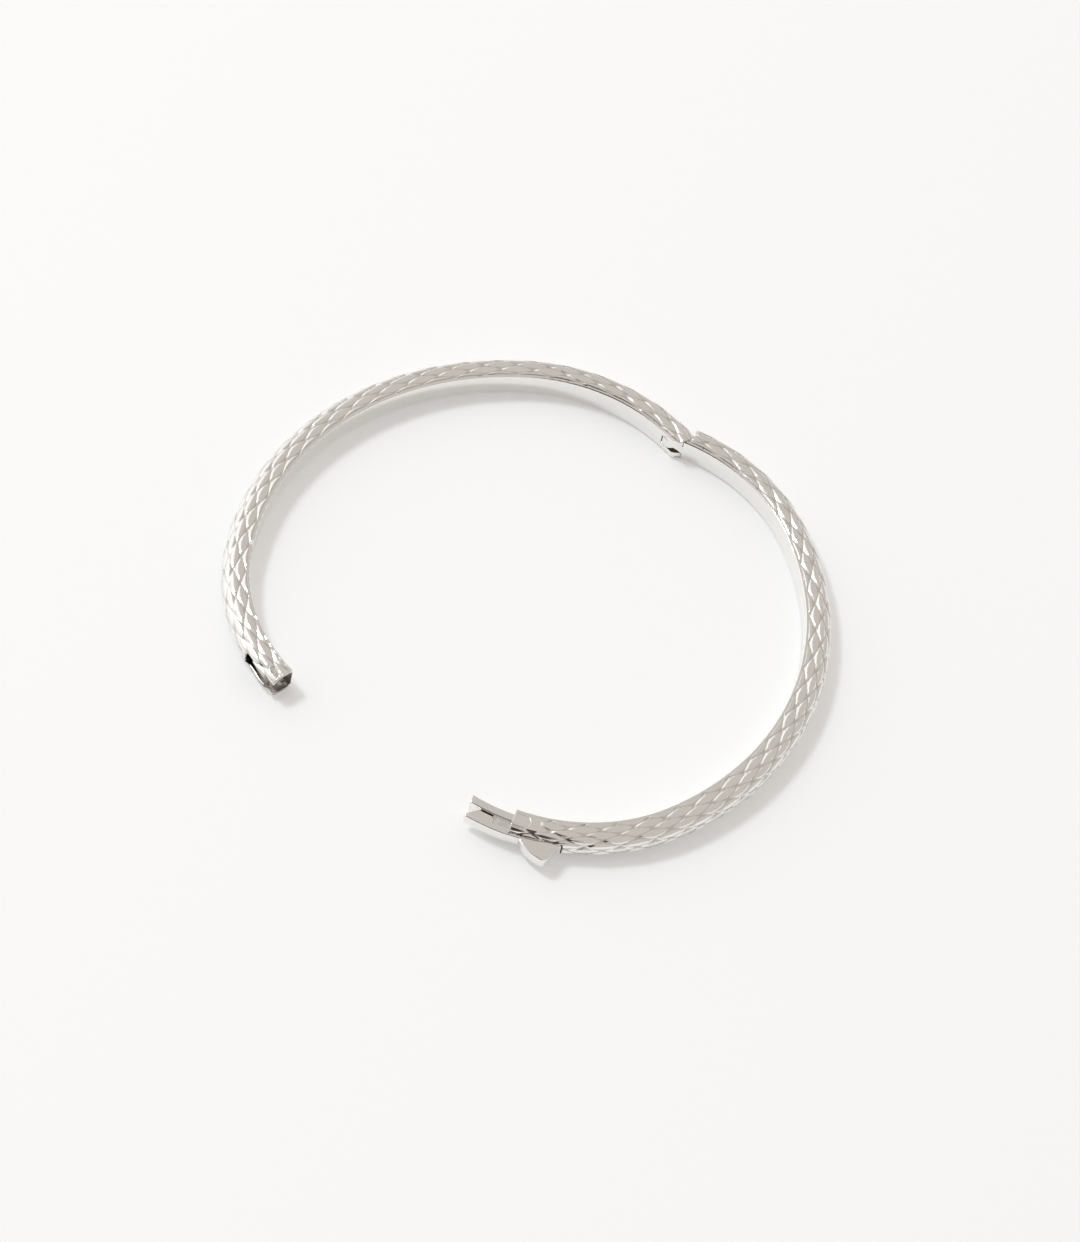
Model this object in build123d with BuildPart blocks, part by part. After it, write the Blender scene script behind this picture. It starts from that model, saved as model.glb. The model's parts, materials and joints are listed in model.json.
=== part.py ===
from build123d import *
from math import atan2, degrees, radians, sqrt
import os

# A hinged oval bangle, lying flat and open.  The hinge is at the back (+Y), the clasp at the
# front, the left arm on -X and the right arm on +X.  Every piece is drawn in the frame of the
# closed oval, and that frame is then swung about the hinge pin to where its arm lies.
# The origin is on the floor, at the middle of the closed oval.

# --- driving dimensions, millimetres and degrees ---------------------------------------------

oval_length = 62.0          # middle of the band to middle of the band, hinge to clasp
oval_width = 51.5           # the same across the oval
end_radius = 22.6           # bend of the band at the hinge and at the clasp
band_width = 3.3            # inside of the wrist to the outer face
band_height = 3.3           # along the wrist
nose_flat = 0.2             # flat left on the outer face between its two rounds
corner_break = 0.15         # broken edge where the scales meet the inner wall
shell_wall = 0.4            # sheet of the scaled outer shell
liner_wall = 0.4            # flat strip that closes the shell on the wrist side
liner_inset = 0.18          # how far the strip stays from the top and bottom of the band
open_angle = 29.5           # whole angle between the arms, lying open

hinge_pin_diameter = 0.7
hinge_pin_offset = 0.3      # from the middle of the band towards its outer face
hinge_pin_short = 0.35      # how far each end stays inside the shell
seam_radius = 2.3           # the left arm ends in this round about the hinge pin
seam_gap = 0.08
tongue_height = 1.2
tongue_outer_gap = 0.4      # from the pin's middle to the outer side of the tongue's neck
tongue_eye_wall = 0.4       # metal around the pin
tongue_root_length = 6.5    # how far the tongue is soldered up the right arm
yoke_length = 3.8           # how far the yoke reaches up the left arm
hinge_side_gap = 0.05       # between the tongue and the two cheeks of the yoke
hinge_round_gap = 0.08      # between the tongue's round end and the yoke
running_gap = 0.03          # round a pin that turns

clasp_gap = 0.08            # between the end faces of the arms, closed
clasp_block_length = 3.4
guide_length = 5.3          # prong that steers the clasp into the left arm
guide_root = 2.2
guide_inner = 1.15          # its wrist side, from the middle of the band
guide_thickness = 1.05
guide_height = 2.0
lead_in_wall = 0.1          # metal left on the left liner's mouth, where the guide swings in
lead_in_length = 4.6
lever_height = 1.4
lever_gap = 0.08            # round the lever in its slots
lever_pin_diameter = 0.5
lever_pin_depth = 2.0       # behind the end face
lever_pin_offset = 0.5      # from the middle of the band towards its outer face
lever_pin_short = 0.42      # how far each end stays inside the shell
lever_eye_wall = 0.27
lever_thickness = 0.7       # of the tail that lies in the arm
lever_tail = 6.25           # from the end face to the end of the tail
lever_proud = 0.06          # how far the prong stands out of the band
neck_length = 2.0
neck_thickness = 1.05
hook_length = 3.3           # from the neck to the nose
hook_heel = 0.3             # corner taken off where the hook meets the catch pin
hook_step = 0.66            # how far the hook reaches behind the catch pin
nose_slope = 1.4
nose_mid = 0.4              # station of the nose's blunt corner, before its end
nose_mid_thickness = 0.85
nose_thickness = 0.3
tab_front = 1.4             # behind the end face
tab_shoulder = 3.0
tab_shoulder_rise = 1.4     # above the outer face
tab_peak = 5.3
tab_rise = 2.3
tab_back = 5.85
tab_round = 0.5
slot_end_gap = 0.12         # past the ends of the lever
catch_pin_diameter = 0.6
catch_pin_depth = 1.5       # inside the left end face
catch_pin_gap = 0.08        # between the catch pin and the lever's neck
pin_recess = 0.06           # the catch pin's filed ends, below the band's faces
key_length = 2.1            # tongue of the clasp block that shows in the top of the right arm
key_width = 1.5
key_offset = -0.2           # from the middle of the band
key_recess = 0.03           # its top, below the band's
spring_thickness = 0.12
spring_height = 1.1
spring_gap = 0.03           # under the lever's tail
spring_seat = -0.75         # from the middle of the band
spring_root = 0.8           # how far it is held in the clasp block
spring_tip = 0.5            # how far it ends before the tail's end

# --- worked out from them ---------------------------------------------------------------------

half_length = oval_length / 2
half_width = oval_width / 2
nose_round = (band_height - nose_flat) / 2
mid_height = band_height / 2
inner_face = -band_width / 2
outer_face = band_width / 2
cavity_inner = inner_face + liner_wall
cavity_outer = outer_face - shell_wall
cavity_height = band_height - 2 * shell_wall
end_centre = half_length - end_radius
side_excess = half_length**2 + half_width**2 - 2 * half_length * end_radius
side_radius = side_excess / (2 * (half_width - end_radius))
side_centre = side_radius - half_width
side_half_turn = degrees(atan2(end_centre, side_centre))
clasp_trim = degrees(clasp_gap / 2 / end_radius)
pin_reach = half_length + hinge_pin_offset
swing = open_angle / 2
pivot = Vector(0, pin_reach)
clear_height = 3 * band_height


def arm_frame(turn, x=0.0, y=0.0):
    """The closed oval's plane at (x, y), after its arm has swung by this angle about the hinge pin."""
    along = Vector(1, 0, 0).rotate(Axis.Z, turn)
    point = pivot + Vector(x, y - pin_reach).rotate(Axis.Z, turn)
    return Plane(origin=point, x_dir=along, z_dir=(0, 0, 1))


def hinge_frame(turn):
    """The same plane with its origin on the hinge pin."""
    return arm_frame(turn, 0, pin_reach)


def clasp_frame(turn):
    """The plane at the clasp: x runs from the right arm to the left one, y points away from the wrist."""
    plane = arm_frame(turn, 0, -half_length)
    return Plane(origin=plane.origin, x_dir=-plane.x_dir, z_dir=(0, 0, 1))


def arm_arcs(side, lead=0.0):
    """An arm's three arcs, hinge to clasp, as (centre, radius, start angle, turn); side 1 is the right."""
    arcs = [
        ((0, end_centre), end_radius, 90 + lead, side_half_turn - 90 - lead),
        ((-side_centre, 0), side_radius, side_half_turn, -2 * side_half_turn),
        ((0, -end_centre), end_radius, -side_half_turn, side_half_turn - 90 + clasp_trim),
    ]
    if side > 0:
        return arcs
    return [((-x, y), radius, 180 - start, -turn) for (x, y), radius, start, turn in arcs]


def carry(profile, arcs, turn):
    """Add the solid that a profile of the band makes along these arcs."""
    for centre, radius, start, arc_turn in arcs:
        middle = arm_frame(turn, *centre)
        outward = middle.x_dir.rotate(Axis.Z, start)
        across = Plane(origin=middle.origin, x_dir=outward, z_dir=outward.cross(Vector(0, 0, 1)))
        section = across * Pos(radius, 0, 0) * profile
        revolve(section, axis=Axis(middle.origin, (0, 0, 1)), revolution_arc=arc_turn)


def first_of(arcs, length):
    """Only the first stretch of these arcs, this long."""
    kept = []
    for centre, radius, start, turn in arcs:
        reach = min(degrees(length / radius), abs(turn))
        length -= radians(reach) * radius
        if reach > 0:
            kept.append((centre, radius, start, reach if turn > 0 else -reach))
    return kept


def hinge_stretch(side, length, lead=0.0):
    """The arm's arcs from the hinge, for this length past the pin."""
    return first_of(arm_arcs(side, lead), length + radians(lead) * end_radius)


def clasp_stretch(side, length):
    """The arm's arcs from the clasp end, for this length."""
    backward = [(centre, radius, start + turn, -turn) for centre, radius, start, turn in arm_arcs(side)]
    return first_of(backward[::-1], length)


lead_angle = degrees((seam_radius + seam_gap) / end_radius) + 1

# --- profiles of the band, x outward from its middle, y up from the floor -------------------------

with BuildSketch() as band_profile:
    with Locations((0, mid_height)):
        Rectangle(band_width, band_height)
    fillet(band_profile.vertices().group_by(Axis.X)[-1], nose_round)

with BuildSketch() as cavity_profile:
    with Locations(((cavity_inner + cavity_outer) / 2, mid_height)):
        Rectangle(cavity_outer - cavity_inner, cavity_height)
    fillet(cavity_profile.vertices().group_by(Axis.X)[-1], nose_round - shell_wall)

with BuildSketch() as shell_profile:
    add(band_profile.sketch)
    with Locations((inner_face + liner_wall / 2, mid_height)):
        Rectangle(liner_wall, band_height, mode=Mode.SUBTRACT)
    chamfer(shell_profile.vertices().group_by(Axis.X)[0], corner_break)
    add(cavity_profile.sketch, mode=Mode.SUBTRACT)

with BuildSketch() as liner_profile:
    with Locations((inner_face + liner_wall / 2, mid_height)):
        Rectangle(liner_wall, band_height - 2 * liner_inset)
    chamfer(liner_profile.vertices().group_by(Axis.X)[0], corner_break)

# --- hinge ------------------------------------------------------------------------------------

tongue_round = hinge_pin_offset + band_width / 2
tongue_eye = hinge_pin_diameter / 2 + tongue_eye_wall
slot_reach = seam_radius + seam_gap + band_width
neck_outer = hinge_pin_offset - tongue_outer_gap
neck_run = 1.5 * seam_radius
tongue_slot_height = tongue_height + 2 * hinge_side_gap
hinge_pin_length = cavity_height - 2 * hinge_pin_short


def beyond_seam():
    """Sketch of all that lies past the left arm's round end, in the hinge's plane."""
    with Locations((slot_reach, 0)):
        Rectangle(2 * slot_reach, 4 * slot_reach)
    Circle(seam_radius, mode=Mode.SUBTRACT)


def tongue_slot():
    """Sketch of the room in which the tongue turns, in the hinge's plane."""
    Circle(tongue_round + hinge_round_gap)
    with Locations((slot_reach, 0)):
        Rectangle(2 * slot_reach, 4 * slot_reach)


with BuildPart() as left_hinge_yoke:
    carry(cavity_profile.sketch, hinge_stretch(-1, yoke_length, lead_angle), -swing)
    with BuildSketch(hinge_frame(-swing).offset(-band_height)):
        beyond_seam()
    extrude(amount=clear_height, mode=Mode.SUBTRACT)
    with BuildSketch(hinge_frame(-swing).offset(mid_height - tongue_slot_height / 2)):
        tongue_slot()
    extrude(amount=tongue_slot_height, mode=Mode.SUBTRACT)
    with BuildSketch(hinge_frame(-swing).offset(-band_height)):
        Circle(hinge_pin_diameter / 2)
    extrude(amount=clear_height, mode=Mode.SUBTRACT)
left_hinge_yoke.part.label = "left_hinge_yoke"

with BuildPart() as hinge_pin:
    with BuildSketch(hinge_frame(-swing).offset(mid_height - hinge_pin_length / 2)):
        Circle(hinge_pin_diameter / 2)
    extrude(amount=hinge_pin_length)
hinge_pin.part.label = "hinge_pin"


def neck_profile(inner):
    """Profile of the tongue's neck, from this wrist side to its outer side."""
    with BuildSketch() as profile:
        with Locations(((inner + neck_outer) / 2, mid_height)):
            Rectangle(neck_outer - inner, tongue_height)
    return profile.sketch


with BuildPart() as hinge_neck:
    carry(neck_profile(inner_face), hinge_stretch(1, neck_run), swing)
    with BuildSketch(hinge_frame(swing).offset(-band_height)):
        Circle(seam_radius + seam_gap)
    extrude(amount=clear_height, mode=Mode.INTERSECT)

with BuildPart() as right_hinge_tongue:
    # root, filling the right arm
    carry(cavity_profile.sketch, hinge_stretch(1, tongue_root_length), swing)
    with BuildSketch(hinge_frame(swing).offset(-band_height)):
        Circle(seam_radius + seam_gap)
    extrude(amount=clear_height, mode=Mode.SUBTRACT)
    # where the neck runs into the root
    carry(neck_profile(cavity_inner), hinge_stretch(1, neck_run), swing)
    # neck between the seam and the pin, level with the inner walls
    add(hinge_neck.part)
    # round end, trimmed where the shell passes outside it, and the eye
    with BuildSketch(hinge_frame(swing).offset(mid_height - tongue_height / 2)):
        Circle(tongue_round)
        with Locations((slot_reach, 0)):
            Rectangle(2 * slot_reach, 4 * slot_reach, mode=Mode.SUBTRACT)
        with Locations((0, tongue_eye + slot_reach)):
            Rectangle(4 * slot_reach, 2 * slot_reach, mode=Mode.SUBTRACT)
        Circle(tongue_eye)
    extrude(amount=tongue_height)
    with BuildSketch(hinge_frame(swing).offset(-band_height)):
        Circle(hinge_pin_diameter / 2 + running_gap)
    extrude(amount=clear_height, mode=Mode.SUBTRACT)
right_hinge_tongue.part.label = "right_hinge_tongue"

# --- clasp ------------------------------------------------------------------------------------

lever_slot_height = lever_height + 2 * lever_gap
lever_pin_length = cavity_height - 2 * lever_pin_short
neck_inner = outer_face + lever_proud - neck_thickness
hook_inner = neck_inner - hook_step
catch_pin_offset = neck_inner - catch_pin_gap - catch_pin_diameter / 2
lever_eye = lever_pin_diameter / 2 + lever_eye_wall
lever_slot_floor = lever_pin_offset - lever_eye - lever_gap
prong_length = neck_length + hook_length
lead_in_height = guide_height + 2 * lever_gap
right_clasp = clasp_frame(swing)
left_clasp = clasp_frame(-swing)


def band_point(out, along):
    """The point this far outside the middle of the band, this far along the clasp."""
    return along, sqrt((end_radius + out) ** 2 - along**2) - end_radius


def band_arc(out, start, end):
    """The band's own curve between two stations along the clasp, this far outside its middle."""
    return ThreePointArc(band_point(out, start), band_point(out, (start + end) / 2), band_point(out, end))


def guide_sketch():
    """The guide prong from above, bent as the band is."""
    with Locations((0, -end_radius)):
        Circle(end_radius - guide_inner + guide_thickness)
        Circle(end_radius - guide_inner, mode=Mode.SUBTRACT)
    with Locations(((guide_length - guide_root) / 2, 0)):
        Rectangle(guide_length + guide_root, 2 * band_width, mode=Mode.INTERSECT)


def key_sketch(reach):
    """The clasp block's key from above: square at the end face, round at its inner end."""
    straight = key_length - key_width / 2
    with Locations(((reach - straight) / 2, key_offset)):
        Rectangle(straight + reach, key_width)
    with Locations((-straight, key_offset)):
        Circle(key_width / 2)


def slot_sketch(start, end):
    """The room for the lever in the band's outer side, between two stations along the clasp."""
    with Locations(((start + end) / 2, lever_slot_floor + band_width)):
        Rectangle(end - start, 2 * band_width)


with BuildPart() as guide_prong:
    with BuildSketch(right_clasp.offset(mid_height - guide_height / 2)):
        guide_sketch()
    extrude(amount=guide_height)
guide_prong.part.label = "guide_prong"

with BuildPart() as lever_pin:
    with BuildSketch(right_clasp.offset(mid_height - lever_pin_length / 2)):
        with Locations((-lever_pin_depth, lever_pin_offset)):
            Circle(lever_pin_diameter / 2)
    extrude(amount=lever_pin_length)
lever_pin.part.label = "lever_pin"

tail_inner = outer_face - lever_thickness

with BuildPart() as latch_lever:
    # prong: a neck, then a hook that reaches behind the catch pin, then a sloping nose
    with BuildSketch(right_clasp.offset(mid_height - lever_height / 2)):
        with BuildLine():
            outer = band_arc(outer_face + lever_proud, 0, prong_length)
            hook = band_arc(hook_inner, neck_length + hook_heel, prong_length - nose_slope)
            nose = outer @ 1
            blunt = Vector(band_point(outer_face + lever_proud - nose_mid_thickness, prong_length - nose_mid))
            Polyline(nose, nose - Vector(0, nose_thickness), blunt, hook @ 1)
            Polyline(
                hook @ 0,
                (neck_length, hook_inner + hook_heel),
                (neck_length, neck_inner),
                (0, neck_inner),
                outer @ 0,
            )
        make_face()
    extrude(amount=lever_height)
    # tail that lies in the arm's slot, and the eye round the pin
    with BuildSketch(right_clasp.offset(mid_height - lever_height / 2)):
        with BuildLine():
            band_arc(outer_face, -lever_tail, 0)
            Line(band_point(outer_face, 0), (0, neck_inner))
            Line((0, neck_inner), (-lever_pin_depth, neck_inner))
            Line((-lever_pin_depth, neck_inner), band_point(tail_inner, -lever_pin_depth))
            band_arc(tail_inner, -lever_pin_depth, -lever_tail)
            Line(band_point(tail_inner, -lever_tail), band_point(outer_face, -lever_tail))
        make_face()
        with Locations((-lever_pin_depth, lever_pin_offset)):
            Circle(lever_eye)
    extrude(amount=lever_height)
    # thumb tab: a full curve up from the front, steep at the back
    with BuildSketch(right_clasp.offset(mid_height - lever_height / 2)) as tab:
        front = band_point(outer_face, -tab_front)
        shoulder = band_point(outer_face + tab_shoulder_rise, -tab_shoulder)
        peak = band_point(outer_face + tab_rise, -tab_peak)
        back = band_point(outer_face, -tab_back)
        with BuildLine():
            ThreePointArc(front, shoulder, peak)
            Polyline(peak, back, band_point(tail_inner, -tab_back), band_point(tail_inner, -tab_front), front)
        make_face()
        fillet(tab.vertices().sort_by(Axis.Y)[-1], tab_round)
    extrude(amount=lever_height)
    with BuildSketch(right_clasp.offset(-band_height)):
        with Locations((-lever_pin_depth, lever_pin_offset)):
            Circle(lever_pin_diameter / 2 + running_gap)
    extrude(amount=clear_height, mode=Mode.SUBTRACT)
latch_lever.part.label = "latch_lever"

with BuildPart() as lever_spring:
    # leaf held in the clasp block, bowed up under the end of the lever's tail
    tip_station = spring_tip - lever_tail
    leaf_tip = Vector(band_point(tail_inner - spring_gap - spring_thickness, tip_station))
    leaf_root = Vector(-clasp_block_length, spring_seat)
    with BuildSketch(right_clasp.offset(mid_height - spring_height / 2)):
        with BuildLine():
            held = Line(leaf_root + Vector(spring_root, 0), leaf_root)
            TangentArc(leaf_root, leaf_tip, tangent=held % 1)
        trace(line_width=spring_thickness)
    extrude(amount=spring_height)
lever_spring.part.label = "lever_spring"

with BuildPart() as clasp_block:
    carry(cavity_profile.sketch, clasp_stretch(1, clasp_block_length), swing)
    with BuildSketch(right_clasp.offset(mid_height)):
        key_sketch(-clasp_gap / 2)
    extrude(amount=mid_height - key_recess)
    with BuildSketch(right_clasp.offset(mid_height - lever_slot_height / 2)):
        slot_sketch(-lever_tail, clasp_gap)
    extrude(amount=lever_slot_height, mode=Mode.SUBTRACT)
    add(guide_prong.part, mode=Mode.SUBTRACT)
    add(lever_spring.part, mode=Mode.SUBTRACT)
    add(lever_pin.part, mode=Mode.SUBTRACT)
clasp_block.part.label = "clasp_block"

with BuildPart() as catch_pin:
    with BuildSketch(left_clasp.offset(pin_recess)):
        with Locations((catch_pin_depth, catch_pin_offset)):
            Circle(catch_pin_diameter / 2)
    extrude(amount=band_height - 2 * pin_recess)
catch_pin.part.label = "catch_pin"

# --- the two arms: scaled shells outside, flat liners on the wrist side -------------------------

with BuildPart() as left_shell:
    carry(shell_profile.sketch, arm_arcs(-1, lead_angle), -swing)
    with BuildSketch(hinge_frame(-swing).offset(-band_height)):
        beyond_seam()
    extrude(amount=clear_height, mode=Mode.SUBTRACT)
    with BuildSketch(left_clasp.offset(mid_height - lever_slot_height / 2)):
        slot_sketch(-clasp_gap, prong_length + slot_end_gap)
    extrude(amount=lever_slot_height, mode=Mode.SUBTRACT)
    with BuildSketch(left_clasp.offset(-band_height)):
        with Locations((catch_pin_depth, catch_pin_offset)):
            Circle(catch_pin_diameter / 2)
    extrude(amount=clear_height, mode=Mode.SUBTRACT)
left_shell.part.label = "left_shell"

with BuildPart() as left_liner:
    carry(liner_profile.sketch, arm_arcs(-1, lead_angle), -swing)
    with BuildSketch(hinge_frame(-swing).offset(-band_height)):
        beyond_seam()
    extrude(amount=clear_height, mode=Mode.SUBTRACT)
    with BuildSketch(hinge_frame(-swing).offset(mid_height - tongue_slot_height / 2)):
        tongue_slot()
    extrude(amount=tongue_slot_height, mode=Mode.SUBTRACT)
    # lead-in thinned on the cavity side, so that the guide prong swings in freely
    with BuildSketch(left_clasp.offset(mid_height - lead_in_height / 2)):
        with BuildLine():
            mouth = (-clasp_gap, inner_face + lead_in_wall)
            inside = band_point(cavity_inner, lead_in_length)
            Polyline(mouth, inside, (lead_in_length, 0), (-clasp_gap, 0), close=True)
        make_face()
    extrude(amount=lead_in_height, mode=Mode.SUBTRACT)
left_liner.part.label = "left_liner"

with BuildPart() as right_shell:
    carry(shell_profile.sketch, arm_arcs(1), swing)
    with BuildSketch(hinge_frame(swing).offset(-band_height)):
        Circle(seam_radius + seam_gap)
    extrude(amount=clear_height, mode=Mode.SUBTRACT)
    with BuildSketch(right_clasp.offset(mid_height - lever_slot_height / 2)):
        slot_sketch(-lever_tail - slot_end_gap, clasp_gap)
    extrude(amount=lever_slot_height, mode=Mode.SUBTRACT)
    with BuildSketch(right_clasp.offset(mid_height)):
        key_sketch(clasp_gap)
    extrude(amount=band_height, mode=Mode.SUBTRACT)
right_shell.part.label = "right_shell"

with BuildPart() as right_liner:
    carry(liner_profile.sketch, arm_arcs(1), swing)
    with BuildSketch(hinge_frame(swing).offset(-band_height)):
        Circle(seam_radius + seam_gap)
    extrude(amount=clear_height, mode=Mode.SUBTRACT)
right_liner.part.label = "right_liner"

# --- write one file for each piece ------------------------------------------------------------

os.makedirs("parts", exist_ok=True)
export_step(left_shell.part, "parts/left_shell.step")
export_step(left_liner.part, "parts/left_liner.step")
export_step(left_hinge_yoke.part, "parts/left_hinge_yoke.step")
export_step(hinge_pin.part, "parts/hinge_pin.step")
export_step(catch_pin.part, "parts/catch_pin.step")
export_step(right_shell.part, "parts/right_shell.step")
export_step(right_liner.part, "parts/right_liner.step")
export_step(right_hinge_tongue.part, "parts/right_hinge_tongue.step")
export_step(clasp_block.part, "parts/clasp_block.step")
export_step(guide_prong.part, "parts/guide_prong.step")
export_step(lever_pin.part, "parts/lever_pin.step")
export_step(lever_spring.part, "parts/lever_spring.step")
export_step(latch_lever.part, "parts/latch_lever.step")
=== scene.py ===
import bpy
import json
import numpy as np
from mathutils import Matrix, Vector


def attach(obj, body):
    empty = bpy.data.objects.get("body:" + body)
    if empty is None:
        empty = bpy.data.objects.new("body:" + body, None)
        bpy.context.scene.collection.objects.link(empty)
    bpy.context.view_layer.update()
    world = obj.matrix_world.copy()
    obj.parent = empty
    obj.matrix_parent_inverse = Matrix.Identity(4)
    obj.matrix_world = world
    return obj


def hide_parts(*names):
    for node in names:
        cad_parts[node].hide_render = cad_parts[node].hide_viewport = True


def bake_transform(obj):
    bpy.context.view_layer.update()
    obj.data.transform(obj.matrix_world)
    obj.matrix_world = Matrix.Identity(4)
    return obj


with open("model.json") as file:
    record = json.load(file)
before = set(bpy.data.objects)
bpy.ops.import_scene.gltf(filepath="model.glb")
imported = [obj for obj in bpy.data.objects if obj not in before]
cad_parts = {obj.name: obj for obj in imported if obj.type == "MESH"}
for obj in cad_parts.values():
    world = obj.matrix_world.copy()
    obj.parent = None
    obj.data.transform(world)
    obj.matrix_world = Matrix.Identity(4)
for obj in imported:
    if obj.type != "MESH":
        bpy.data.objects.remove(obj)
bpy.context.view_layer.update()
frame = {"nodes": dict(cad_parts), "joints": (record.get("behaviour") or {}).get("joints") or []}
MM = 0.001

# --- table, light and camera ---------------------------------------------------------------------
# A matte off-white board under a soft lamp at the left.  Polished metal shows its shape by what it
# mirrors: a pale ceiling, a bright screen at the left and a dark corner behind the camera.


class Wire:
    """An output of a node.  Arithmetic on it, with numbers or other wires, adds Math nodes."""

    def __init__(self, socket):
        self.socket = socket

    def math(self, operation, *values):
        tree = self.socket.id_data
        node = tree.nodes.new("ShaderNodeMath")
        node.operation = operation
        for socket, value in zip(node.inputs, values):
            plug(tree, socket, value)
        return Wire(node.outputs[0])

    def __add__(self, other):
        return self.math("ADD", self, other)

    def __sub__(self, other):
        return self.math("SUBTRACT", self, other)

    def __rsub__(self, other):
        return self.math("SUBTRACT", other, self)

    def __mul__(self, other):
        return self.math("MULTIPLY", self, other)

    def clamped(self):
        return self.math("MINIMUM", self.math("MAXIMUM", self, 0.0), 1.0)

    __radd__ = __add__
    __rmul__ = __mul__


def plug(tree, socket, value):
    """Link a wire to a socket, or set the socket to a plain value."""
    if isinstance(value, Wire):
        tree.links.new(value.socket, socket)
    else:
        socket.default_value = value


class Finish:
    """The node tree of one finish, emptied and drawn up afresh."""

    def __init__(self, owner):
        owner.use_nodes = True
        self.tree = owner.node_tree
        self.tree.nodes.clear()

    def add(self, kind, settings=None, output=0, **sockets):
        """One node: its settings first, then its sockets by name, with _ for a blank."""
        node = self.tree.nodes.new("ShaderNode" + kind)
        for name, value in (settings or {}).items():
            setattr(node, name, value)
        for name, value in sockets.items():
            key = int(name[1:]) if name[1:].isdigit() else name.replace("_", " ")
            plug(self.tree, node.inputs[key], value)
        return Wire(node.outputs[output]) if node.outputs else None

    def mix(self, factor, first, second):
        """A colour between two others."""
        return self.add("Mix", {"data_type": "RGBA"}, 2, _0=factor, _6=first, _7=second)


azimuth, elevation, roll = np.radians((23.126, 52.265, 12.736))
aim = Vector((2.462, -2.403, 1.65)) * MM
distance = 742.9 * MM


def compass(turn, rise):
    """Unit vector towards this angle round from the front and this height, both in radians."""
    return Vector((np.sin(turn) * np.cos(rise), -np.cos(turn) * np.cos(rise), np.sin(rise)))


back = compass(azimuth, elevation)
level = Vector((np.cos(azimuth), np.sin(azimuth), 0))
upright = back.cross(level)
right = np.cos(roll) * level + np.sin(roll) * upright
up = np.cos(roll) * upright - np.sin(roll) * level
lens = bpy.data.cameras.new("camera")
lens.sensor_width = 36
lens.lens = 185.474
lens.clip_start = 0.05
lens.clip_end = 20
camera = bpy.data.objects.new("camera", lens)
looking = Matrix((right, up, back)).transposed().to_4x4()
camera.matrix_world = Matrix.Translation(aim + back * distance) @ looking
bpy.context.collection.objects.link(camera)
bpy.context.scene.camera = camera


def lamp(name, side, rise, reach, size, watts, tint=(1, 1, 1)):
    """A square soft lamp aimed at the bangle, at this angle round from the camera and this height."""
    light = bpy.data.lights.new(name, "AREA")
    light.size = size
    light.energy = watts
    light.color = tint
    way = compass(azimuth + np.radians(side), np.radians(rise))
    facing = way.to_track_quat("Z", "Y").to_matrix().to_4x4()
    stand = bpy.data.objects.new(name, light)
    stand.matrix_world = Matrix.Translation(aim + way * reach) @ facing
    bpy.context.collection.objects.link(stand)


lamp("key_lamp", -112, 52, 1.6, 0.28, 7.0, (0.90, 0.95, 1.0))
bpy.context.scene.view_settings.view_transform = "Standard"

world = bpy.data.worlds.new("studio")
bpy.context.scene.world = world
room = Finish(world)
ray = room.add("TexCoord")


def toward(side, rise):
    """How nearly a ray points this way, -1 to 1."""
    way = compass(azimuth + np.radians(side), np.radians(rise))
    return room.add("VectorMath", {"operation": "DOT_PRODUCT"}, 1, _0=ray, _1=way)


ceiling = (0.60, 0.57, 0.535, 1)
screen = (1.12, 1.11, 1.10, 1)
corner = (0.06, 0.042, 0.035, 1)
bright = ((toward(-118, 26) - 0.68) * 5).clamped()
shade = ((toward(-20, 38) - 0.82) * 9).clamped()
sky = room.mix(bright, ceiling, screen)
sky = room.mix(shade, sky, corner)
room.add("OutputWorld", Surface=room.add("Background", Color=sky, Strength=1.0))

board = bpy.data.meshes.new("table_top")
far = 3
board.from_pydata([(-far, -far, 0), (far, -far, 0), (far, far, 0), (-far, far, 0)], [], [(0, 1, 2, 3)])
table_top = bpy.data.objects.new("table_top", board)
bpy.context.collection.objects.link(table_top)
matt = Finish(bpy.data.materials.new("pale_board"))
grain = matt.add("TexNoise", {}, 0, Vector=matt.add("TexCoord", {}, 3), Scale=900.0, Detail=3.0)
white = (0.935, 0.94, 0.945, 1)
lit_from_below = 0.20
paint = matt.add(
    "BsdfPrincipled",
    Base_Color=white,
    Roughness=0.6 + 0.2 * grain,
    Emission_Color=white,
    Emission_Strength=lit_from_below,
)
matt.add("OutputMaterial", Surface=paint)
board.materials.append(bpy.data.materials["pale_board"])

# --- scaled shells -------------------------------------------------------------------------------
# Each arm's outer shell is pressed sheet, plated and polished: rows of pointed, pillowed scales with
# narrow grooves, darkened by painted shade.  A rod with the scales on it is trimmed to the shell's ends,
# slots and hollow.

bends = {"end": 22.6, "side": 35.375}
half_width = 25.75
end_middle = 8.4
side_middle = bends["side"] - half_width
side_turn = np.arctan2(end_middle, side_middle)
end_run = bends["end"] * (np.pi / 2 - side_turn)
side_run = 2 * bends["side"] * side_turn
arm_run = 2 * end_run + side_run
swing = np.radians(14.75)
joints = {joint["name"]: joint for joint in frame["joints"]}
pin = np.array(joints["bangle_hinge"]["pos_m"][:2]) / MM


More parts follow.
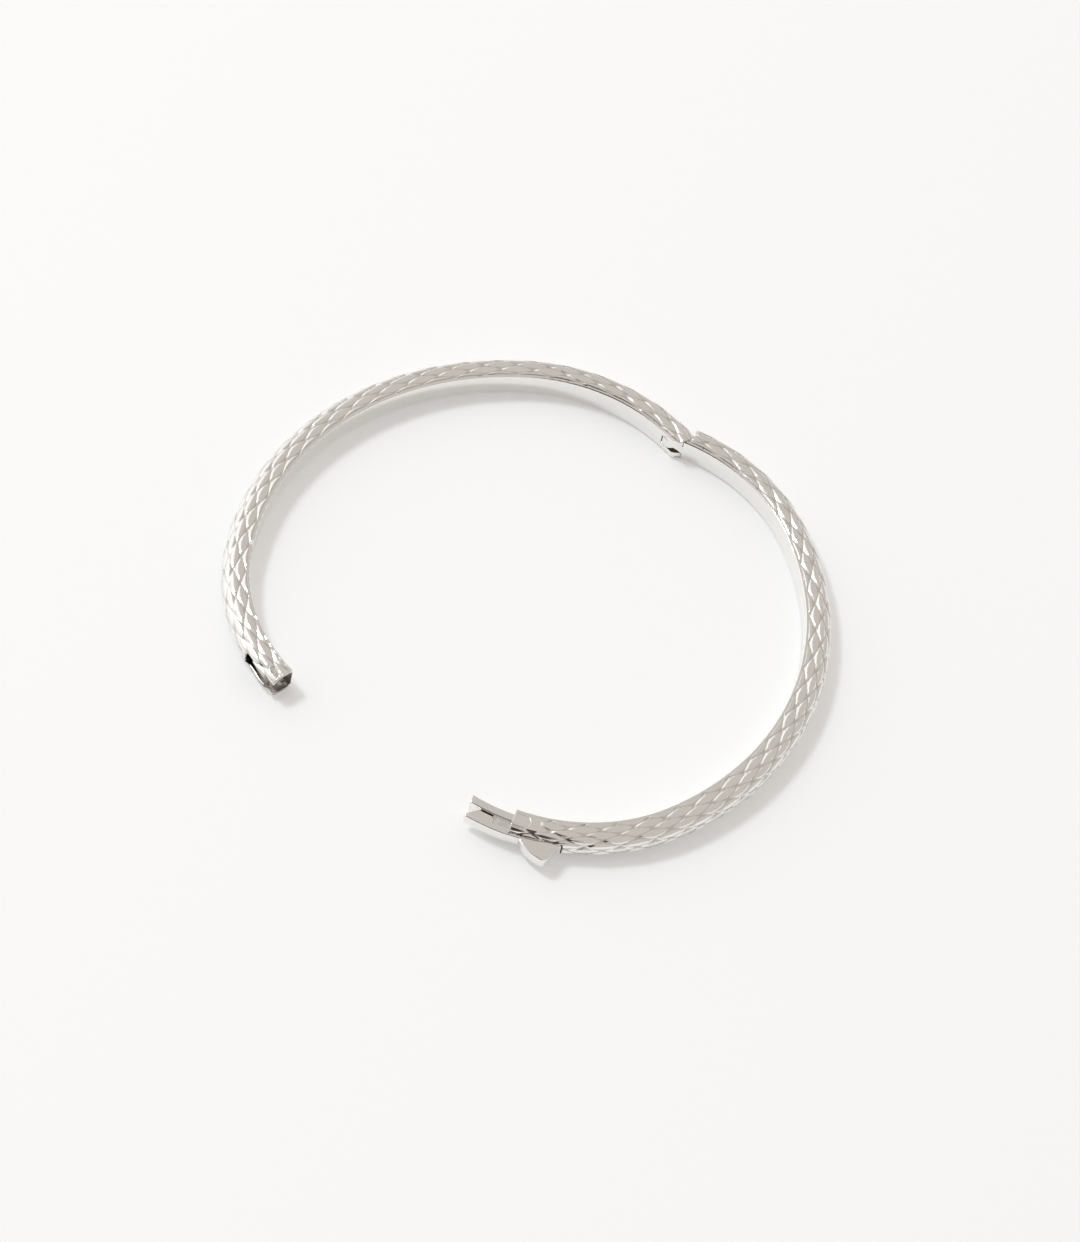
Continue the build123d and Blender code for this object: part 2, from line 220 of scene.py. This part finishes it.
def along_arm(run, out, side):
    """Points this far along the arm from its hinge end, this far outside its middle line.

    The line is three arcs of a four-centre oval: angle = start - run / radius about each centre.
    The arm is then turned about the hinge pin by half the opening angle."""
    first = run < end_run
    second = ~first & (run < end_run + side_run)
    last = run - end_run - side_run
    angle = np.where(first, np.pi / 2 - run / bends["end"], -side_turn - last / bends["end"])
    angle = np.where(second, side_turn - (run - end_run) / bends["side"], angle)
    radius = np.where(second, bends["side"], bends["end"]) + out
    across = np.where(second, -side_middle, 0) + radius * np.cos(angle)
    forth = np.where(second, 0, np.where(first, end_middle, -end_middle)) + radius * np.sin(angle)
    across, forth, turn = side * across, forth - pin[1], side * swing
    return (
        across * np.cos(turn) - forth * np.sin(turn),
        across * np.sin(turn) + forth * np.cos(turn) + pin[1],
    )


band_high = 3.3
nose_round = 1.55
nose_out = 0.1
nose_flat = 0.2
flat_run = 1.35
round_run = nose_round * np.pi / 2
band_run = 2 * flat_run + 2 * round_run + nose_flat


def round_band(girth):
    """Point and outward direction this far round the band, from its top inner edge over the nose.

    A flat, a quarter round, a short flat, a quarter round and a flat; past either end it runs on flat."""
    half = girth - band_run / 2
    far = np.abs(half) - nose_flat / 2
    turn = np.clip(far / nose_round, 0, np.pi / 2)
    rest = np.clip(far - round_run, 0, None)
    sign = np.where(half < 0, 1.0, -1.0)
    out = nose_out + nose_round * np.cos(turn) - rest
    tall = np.where(far < 0, -half, sign * (nose_flat / 2 + nose_round * np.sin(turn)))
    return out, band_high / 2 + tall, np.cos(turn), sign * np.sin(turn)


def piece(name, points, faces, body, material, smooth=50):
    """A named mesh from points in mm and lists of faces, riding on a body if one is given."""
    mesh = bpy.data.meshes.new(name)
    mesh.from_pydata((points * MM).tolist(), [], faces)
    mesh.shade_smooth()
    mesh.set_sharp_from_angle(angle=np.radians(smooth))
    mesh.materials.append(material)
    made = bpy.data.objects.new(name, mesh)
    bpy.context.collection.objects.link(made)
    if body:
        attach(made, body)
    return made


def trimmed(made, node, smooth=50):
    """Cut a piece to the space that a CAD node fills, and keep the result as its mesh."""
    source = frame["nodes"][node]
    cutter = source.copy()
    cutter.data = source.data.copy()
    cutter.modifiers.clear()
    bpy.context.collection.objects.link(cutter)
    weld = cutter.modifiers.new("weld", "WELD")
    weld.merge_threshold = 1e-7
    meet = made.modifiers.new("trim", "BOOLEAN")
    meet.operation = "INTERSECT"
    meet.solver = "MANIFOLD"
    meet.object = cutter
    bpy.context.view_layer.update()
    cut = bpy.data.meshes.new_from_object(made.evaluated_get(bpy.context.evaluated_depsgraph_get()))
    made.modifiers.clear()
    made.data = cut
    cut.name = made.name
    bpy.data.objects.remove(cutter)
    cut.shade_smooth()
    cut.set_sharp_from_angle(angle=np.radians(smooth))


scale_run = 3.97
half_pitches = 10
scale_girth = band_run / half_pitches
skin = 0.02
groove_deep = 0.12
groove_half = 0.11
pillow = 0.09
tip_lift = 0.07
side_round = 0.42
plain_deep = 0.13
edge_mm = scale_run * scale_girth / np.hypot(scale_run, 2 * scale_girth)


def scale_relief(first, second):
    """Depth of the skin below the band's face, and how far each point is out of the grooves.

    first and second count scales along the two slanting groove directions, whole at a scale's middle.
    A scale is a lens, |girth| + hypot(run, round) below a limit, pointed at its two ends; a smooth
    step at its outline drops to the groove.  On top it is a pillow that rises to its clasp end."""
    one, two = first - np.round(first), second - np.round(second)
    run, girth = one + two, one - two
    inside = np.hypot(1, side_round) - np.abs(girth) - np.hypot(run, side_round)
    step = np.clip(inside * edge_mm / groove_half, 0, 1)
    step = step * step * (3 - 2 * step)
    dome = np.clip(1 - run**2, 0, 1) * np.clip(1 - girth**2, 0, 1)
    lift = 0.5 - run / 2
    depth = skin + groove_deep * (1 - step) + pillow * (1 - dome) + tip_lift * lift
    return depth, step


pin_back, pin_out = 1.5, 0.28


def plain_border(run, out, side):
    """1 where the top of the band is left plain: beside the key, or round the catch pin.

    A smooth step in the distance to the area's edge."""
    to_end = arm_run - run
    if side > 0:
        rim = np.minimum(3.4 - to_end, 0.8 - out)
    else:
        rim = 0.55 - np.hypot(to_end - pin_back, out - pin_out)
    step = np.clip(rim / 0.2 + 0.5, 0, 1)
    return step * step * (3 - 2 * step)


def scaled_rod(name, side, phase, body, material):
    """A solid rod with scales, longer than the arm: a slanting grid that follows the grooves.

    Each scale has fine by fine cells, step = count / fine + crowd * sin(whole turn), which crowds
    them towards its outline."""
    fine, crowd = 14, 0.095
    before, beyond = 5, 2
    steps = np.arange(fine) / fine
    steps = np.round(steps - 0.5 + crowd * np.sin(2 * np.pi * steps), 6)
    low = int(np.floor((-before - phase) / scale_run - half_pitches / 2 - 0.5))
    rows = int(np.ceil((arm_run + beyond - phase) / scale_run + 0.5)) - low
    count = np.arange(rows * fine + 1)
    wide = np.arange(-fine, (half_pitches + 1) * fine + 1)

    def place(index):
        return steps[index % fine] + index // fine + low

    second = place(count)[:, None] + 0 * wide
    first = place(count[:, None] + wide)
    run = phase + scale_run * (first + second) / 2
    girth = scale_girth * (first - second)
    depth, out_of_groove = scale_relief(first, second)
    out, tall, out_way, up_way = round_band(girth)
    plain = plain_border(run, out, side) * (tall > band_high / 2)
    depth, out_of_groove = depth + plain * (plain_deep - depth), np.maximum(out_of_groove, plain)
    x, y = along_arm(run, out - depth * out_way, side)
    points = np.stack([x, y, tall - depth * up_way], -1)
    tall_rows, columns = first.shape
    key = np.arange(tall_rows * columns).reshape(tall_rows, columns)
    quads = np.stack([key[:-1, 1:-1], key[:-1, 2:], key[1:, 1:-1], key[1:, :-2]], -1).reshape(-1, 4)
    top = np.stack([key[:-1, 0], key[:-1, 1], key[1:, 0]], -1)
    foot = np.stack([key[:-1, -1], key[1:, -1], key[1:, -2]], -1)
    skew = (half_pitches // 2 + 1) * fine
    near, far = key[skew:, 0], key[:-skew, -1]
    back_face = np.stack([near[:-1], near[1:], far[1:], far[:-1]], -1)
    start = list(key[0, ::-1]) + list(key[1 : skew + 1, 0])
    finish = list(key[-1, :]) + list(key[-skew - 1 : -1, -1][::-1])
    faces = quads.tolist() + top.tolist() + foot.tolist() + back_face.tolist()
    faces += [[int(i) for i in start], [int(i) for i in finish]]
    if side > 0:
        faces = [face[::-1] for face in faces]
    rod = piece(name, points.reshape(-1, 3), faces, body, material)
    # The groove mask goes on the mesh; the finish paints shade into the grooves with it.
    mark = rod.data.attributes.new("out_of_groove", "FLOAT", "POINT")
    mark.data.foreach_set("value", out_of_groove.ravel())
    return rod


def silver(name, colour, rough, grooved=False, brushed=0.0):
    """Polished plate: faint cloudiness, fine wipe marks and, on scales, painted shade: grooves tinted
    brown-dark for the shade and dark reflections in them.
    """
    metal = bpy.data.materials.new(name)
    draw = Finish(metal)
    place = draw.add("TexCoord", {}, 3)
    cloud = draw.add("TexNoise", {}, 0, Vector=place, Scale=450.0, Detail=4.0, Roughness=0.6)
    fleck = draw.add("TexNoise", {}, 0, Vector=place, Scale=6000.0, Detail=2.0, Roughness=0.7)
    tone = draw.mix(cloud, tuple(c * 0.94 for c in colour) + (1,), (*colour, 1))
    gloss = rough * (0.7 + 0.6 * cloud) + 0.03 * fleck
    if grooved:
        out_of_groove = draw.add("Attribute", {"attribute_name": "out_of_groove"}, 2)
        # painted shade: the grooves are tinted brown-dark and made a little rougher; the plate has no
        # tarnish there, the tint stands in for shade and dark reflections in the grooves.
        painted_groove_shade = (1 - out_of_groove * 2.0).clamped()
        tone = draw.mix(painted_groove_shade * 0.3, tone, (0.28, 0.20, 0.16, 1))
        gloss = gloss + 0.12 * painted_groove_shade
    if brushed:
        stretch = draw.add("Mapping", {}, 0, Vector=place, Scale=(300.0, 300.0, 9000.0))
        lines = draw.add("TexNoise", {}, 0, Vector=stretch, Scale=1.0, Detail=3.0)
        relief = draw.add("Bump", {}, 0, Strength=brushed, Distance=0.00002, Height=lines)
    else:
        relief = draw.add("Bump", {}, 0, Strength=0.12, Distance=0.00002, Height=fleck)
    shader = draw.add("BsdfPrincipled", Base_Color=tone, Metallic=1.0, Roughness=gloss, Normal=relief)
    draw.add("OutputMaterial", Surface=shader)
    return metal


plate = (0.93, 0.915, 0.89)
scaled_plate = silver("scaled_plate", plate, 0.10, grooved=True)
for side, name, phase in ((-1, "left", 86.84), (1, "right", 82.95)):
    shell = scaled_rod(name + "_scales", side, phase, name + "_arm", scaled_plate)
    trimmed(shell, name + "_shell")
    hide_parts(name + "_shell")

# --- liners --------------------------------------------------------------------------------------
# A flat strip soldered into each shell on the wrist side, rolled smooth and polished like a mirror.

smooth_plate = silver("smooth_plate", plate, 0.06)


def liner_rod(name, side, body):
    """A rod with the liner's wrist face: a rectangle with rounded edges carried along the arm."""
    soft = 0.12
    low, high, near, far = 0.19, band_high - 0.19, -1.62, -0.9
    turn = np.radians(np.linspace(0, 90, 5))
    arc_out, arc_up = near + soft - soft * np.cos(turn), soft - soft * np.sin(turn)
    out = np.concatenate([arc_out[::-1], arc_out, [far, far]])
    tall = np.concatenate([low + arc_up[::-1], high - arc_up, [high, low]])
    run = np.linspace(-6, arm_run + 2, 420)
    x, y = along_arm(run[:, None], out[None] + 0 * run[:, None], side)
    points = np.stack([x, y, tall[None] + 0 * run[:, None]], -1)
    rows, columns = x.shape
    key = np.arange(rows * columns).reshape(rows, columns)
    turned = np.roll(key, -1, 1)
    quads = np.stack([key[:-1], turned[:-1], turned[1:], key[1:]], -1).reshape(-1, 4).tolist()
    faces = quads + [key[0, ::-1].tolist(), key[-1].tolist()]
    if side > 0:
        faces = [face[::-1] for face in faces]
    return piece(name, points.reshape(-1, 3), faces, body, smooth_plate, 30)


for side, name in ((-1, "left"), (1, "right")):
    strip = liner_rod(name + "_wrist_strip", side, name + "_arm")
    trimmed(strip, name + "_liner", 30)
    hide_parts(name + "_liner")

# --- guide prong and latch lever -----------------------------------------------------------------
# Two flat parts cut from plate and polished, their edges rounded over: the guide is soldered into
# the right arm, and the lever turns on a pin in its slot, with a hook in front and a thumb tab behind.

fitting = silver("polished_fitting", plate, 0.08)
lever_out = 1.65
neck_in = 0.66
end_point = np.array(along_arm(np.array(arm_run), 0.0, 1))
out_dir = np.array(along_arm(np.array(arm_run), 1.0, 1)) - end_point
mouth_dir = np.array([out_dir[1], -out_dir[0]])


def bent(out, start, end, count=14):
    """Points along the clasp that keep this distance outside the band's middle line."""
    along = np.linspace(start, end, count)
    return np.stack([along, np.sqrt((bends["end"] + out) ** 2 - along**2) - bends["end"]], -1)


def arc_of(middle, radius, start, end, count):
    """Points on a circle between two angles in degrees."""
    turn = np.radians(np.linspace(start, end, count))
    return np.stack([middle[0] + radius * np.cos(turn), middle[1] + radius * np.sin(turn)], -1)


def three_point_arc(first, middle, last, count):
    """Points on the circle through three points, found from its centre and three angles."""
    (ax, ay), (bx, by), (cx, cy) = first, middle, last
    twice = 2 * (ax * (by - cy) + bx * (cy - ay) + cx * (ay - by))
    a, b, c = ax * ax + ay * ay, bx * bx + by * by, cx * cx + cy * cy
    x = (a * (by - cy) + b * (cy - ay) + c * (ay - by)) / twice
    y = (a * (cx - bx) + b * (ax - cx) + c * (bx - ax)) / twice
    start, end = np.arctan2(ay - y, ax - x), np.arctan2(cy - y, cx - x)
    end = start + (end - start) % (2 * np.pi)
    return arc_of((x, y), np.hypot(ax - x, ay - y), np.degrees(start), np.degrees(end), count)


def flat_part(name, outline, low, high, edge, body, material):
    """A plate with this outline, drawn anticlockwise at the clasp, between two heights.

    Rings go round it from the bottom face to the top one; each is the outline moved in along its
    mitred normals by edge * (1 - sin turn), at edge * (1 - cos turn) from the face."""
    ahead = np.roll(outline, -1, 0) - outline
    ahead = ahead / np.hypot(*ahead.T)[:, None]
    normal = np.stack([ahead[:, 1], -ahead[:, 0]], -1)
    last = np.roll(normal, 1, 0)
    mitre = (normal + last) / (1 + np.sum(normal * last, -1, keepdims=True))
    turn = np.radians(np.linspace(0, 90, 5))
    inset = edge * (1 - np.sin(turn))
    rise = edge * (1 - np.cos(turn))
    inset = np.concatenate([inset, inset[::-1]])
    tall = np.concatenate([low + rise, high - rise[::-1]])
    flat = outline[None] - inset[:, None, None] * mitre[None]
    plan = end_point + flat[..., :1] * mouth_dir + flat[..., 1:] * out_dir
    points = np.concatenate([plan, tall[:, None, None] + 0 * flat[..., :1]], -1)
    key = np.arange(points.shape[0] * points.shape[1]).reshape(points.shape[:2])
    turned = np.roll(key, -1, 1)
    quads = np.stack([key[:-1], turned[:-1], turned[1:], key[1:]], -1).reshape(-1, 4)
    faces = quads.tolist() + [key[0, ::-1].tolist(), key[-1].tolist()]
    return piece(name, points.reshape(-1, 3), faces, body, material, 30)


guide = np.concatenate([bent(-1.15, -2.2, 5.3), bent(-0.1, 5.3, -2.2)])
guide_piece = flat_part("guide_finger", guide, 0.65, 2.65, 0.14, "right_arm", fitting)
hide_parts("guide_prong")

eye = arc_of((-2.0, 0.5), 0.52, 137.7, 377.9, 16)
front = bent(lever_out, -1.4, -1.4, 1)[0]
shoulder = bent(3.05, -3.0, -3.0, 1)[0]
peak = bent(3.95, -5.3, -5.3, 1)[0]
rise = three_point_arc(front, shoulder, peak, 18)
tab_back = bent(lever_out, -5.85, -6.25, 3)
tab_line = tab_back[0] - peak
into = rise[-1] - rise[-2]
into, away = into / np.hypot(*into), tab_line / np.hypot(*tab_line)
corner_in, corner_out = peak - 0.8 * into, peak + 0.7 * away
blend = np.linspace(0, 1, 8)[:, None]
tip = (1 - blend) ** 2 * corner_in + 2 * blend * (1 - blend) * peak + blend**2 * corner_out
rise = rise[np.hypot(*(rise - peak).T) > 0.85]
lever = np.concatenate([
    bent(0.95, -6.25, -2.45, 10),
    eye,
    [[0, neck_in], [2.0, neck_in], [2.0, 0.3]],
    bent(0.0, 2.3, 3.9, 6),
    [bent(0.86, 4.9, 4.9, 1)[0], bent(1.71, 5.3, 5.3, 1)[0] - [0, 0.3]],
    bent(1.71, 5.3, 0.0, 14),
    bent(lever_out, 0.0, -1.3, 4),
    rise,
    tip,
    tab_back,
])
lever_piece = flat_part("snap_lever", lever, 0.95, 2.35, 0.13, "latch_lever", fitting)
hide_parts("latch_lever")

# --- lever spring --------------------------------------------------------------------------------
# A leaf of spring steel held in the clasp block; it bows up under the lever's tail and gives as the
# thumb tab is pressed.  Here it rides on no body and keeps its shape; the places of its root and tip
# are worked out but not used.

wire = silver("drawn_wire", (0.80, 0.785, 0.76), 0.20, brushed=0.3)
bow, bow_middle, half_leaf = 3.73, (-3.4, 2.98), 0.06
leaf = np.concatenate([
    arc_of(bow_middle, bow + half_leaf, 231, 270, 16),
    [[-2.6, -0.75 - half_leaf], [-2.6, -0.75 + half_leaf]],
    arc_of(bow_middle, bow - half_leaf, 270, 231, 16),
])
leaf_piece = flat_part("return_leaf", leaf, 1.1, 2.2, 0.03, None, wire)
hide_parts("lever_spring")
root_and_tip, outward = (-3.4, -5.75), (-0.75, 0.08)
ends = end_point + np.outer(root_and_tip, mouth_dir) + np.outer(outward, out_dir)
ends = [tuple(np.append(end, band_high / 2) * MM) for end in ends]
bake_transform(leaf_piece)

# --- beads ---------------------------------------------------------------------------------------
# Fine round wire soldered on as a border: round the mouth of each arm, round the key that
# shows in the top of the right arm, and round the filed end of the catch pin.


def bead(name, path, axis, radius, body, closed=False):
    """A round wire along a path in a plane.

    Its ring at each point is radius * (cos, sin) in the plane's normal and the path's own normal."""
    if closed:
        along = np.roll(path, -1, 0) - np.roll(path, 1, 0)
    else:
        along = np.gradient(path, axis=0)
    along = along / np.linalg.norm(along, axis=1, keepdims=True)
    side = np.cross(along, axis)
    turn = np.linspace(0, 2 * np.pi, 12, endpoint=False)[None, :, None]
    points = path[:, None] + radius * (np.cos(turn) * np.array(axis) + np.sin(turn) * side[:, None])
    key = np.arange(points.shape[0] * 12).reshape(-1, 12)
    turned = np.roll(key, -1, 1)
    rows = np.concatenate([key, key[:1]]) if closed else key
    turned_rows = np.concatenate([turned, turned[:1]]) if closed else turned
    quads = np.stack([rows[:-1], turned_rows[:-1], turned_rows[1:], rows[1:]], -1).reshape(-1, 4)
    faces = quads.tolist()
    if not closed:
        faces += [key[0, ::-1].tolist(), key[-1].tolist()]
    return piece(name, points.reshape(-1, 3), faces, body, fitting, 60)


slot_low, slot_high = 0.87, 2.43
for side, arm in ((-1, "left"), (1, "right")):
    thick = 0.09
    girth = np.linspace(0.45, band_run - 0.45, 200)
    out, tall, out_way, up_way = round_band(girth)
    out, tall = out - (thick + 0.005) * out_way, tall - (thick + 0.005) * up_way
    x, y = along_arm(arm_run - 0.045 - thick + 0 * out, out, side)
    path = np.stack([x, y, tall], -1)
    end, before = (along_arm(np.array(at), 0.0, side) for at in (arm_run, arm_run - 0.1))
    way = np.append(np.subtract(end, before), 0)
    way = way / np.linalg.norm(way)
    upper, lower = tall > slot_high + thick, tall < slot_low - thick
    bead(arm + "_mouth_rim_top", path[upper], way, thick, arm + "_arm")
    bead(arm + "_mouth_rim_foot", path[lower], way, thick, arm + "_arm")

key_half, key_out, key_straight = 0.75, -0.2, 1.35
border = key_half + 0.08
around = arc_of((-key_straight, key_out), border, 90, 270, 20)
around = np.concatenate([[[-0.15, key_out + border]], around, [[-0.15, key_out - border]]])
plan = end_point + around[:, :1] * mouth_dir + around[:, 1:] * out_dir
bead("key_border", np.insert(plan, 2, band_high - 0.125, 1), (0, 0, 1), 0.12, "right_arm")

ring = arc_of((0, 0), 0.36, 0, 345, 24)
pin_x, pin_y = along_arm(arm_run - pin_back + ring[:, 0], pin_out + ring[:, 1], -1)
path = np.stack([pin_x, pin_y, 0 * pin_x + band_high - 0.08], -1)
bead("catch_pin_ring", path, (0, 0, 1), 0.07, "left_arm", True)

# --- hinge, clasp block and pins -----------------------------------------------------------------
# Solid fittings, milled and polished, soldered into the ends of the arms; the pins are drawn wire.

for node in ("left_hinge_yoke", "right_hinge_tongue", "clasp_block"):
    for place in frame["nodes"][node].material_slots:
        place.material = fitting
for node in ("hinge_pin", "catch_pin", "lever_pin"):
    for place in frame["nodes"][node].material_slots:
        place.material = wire
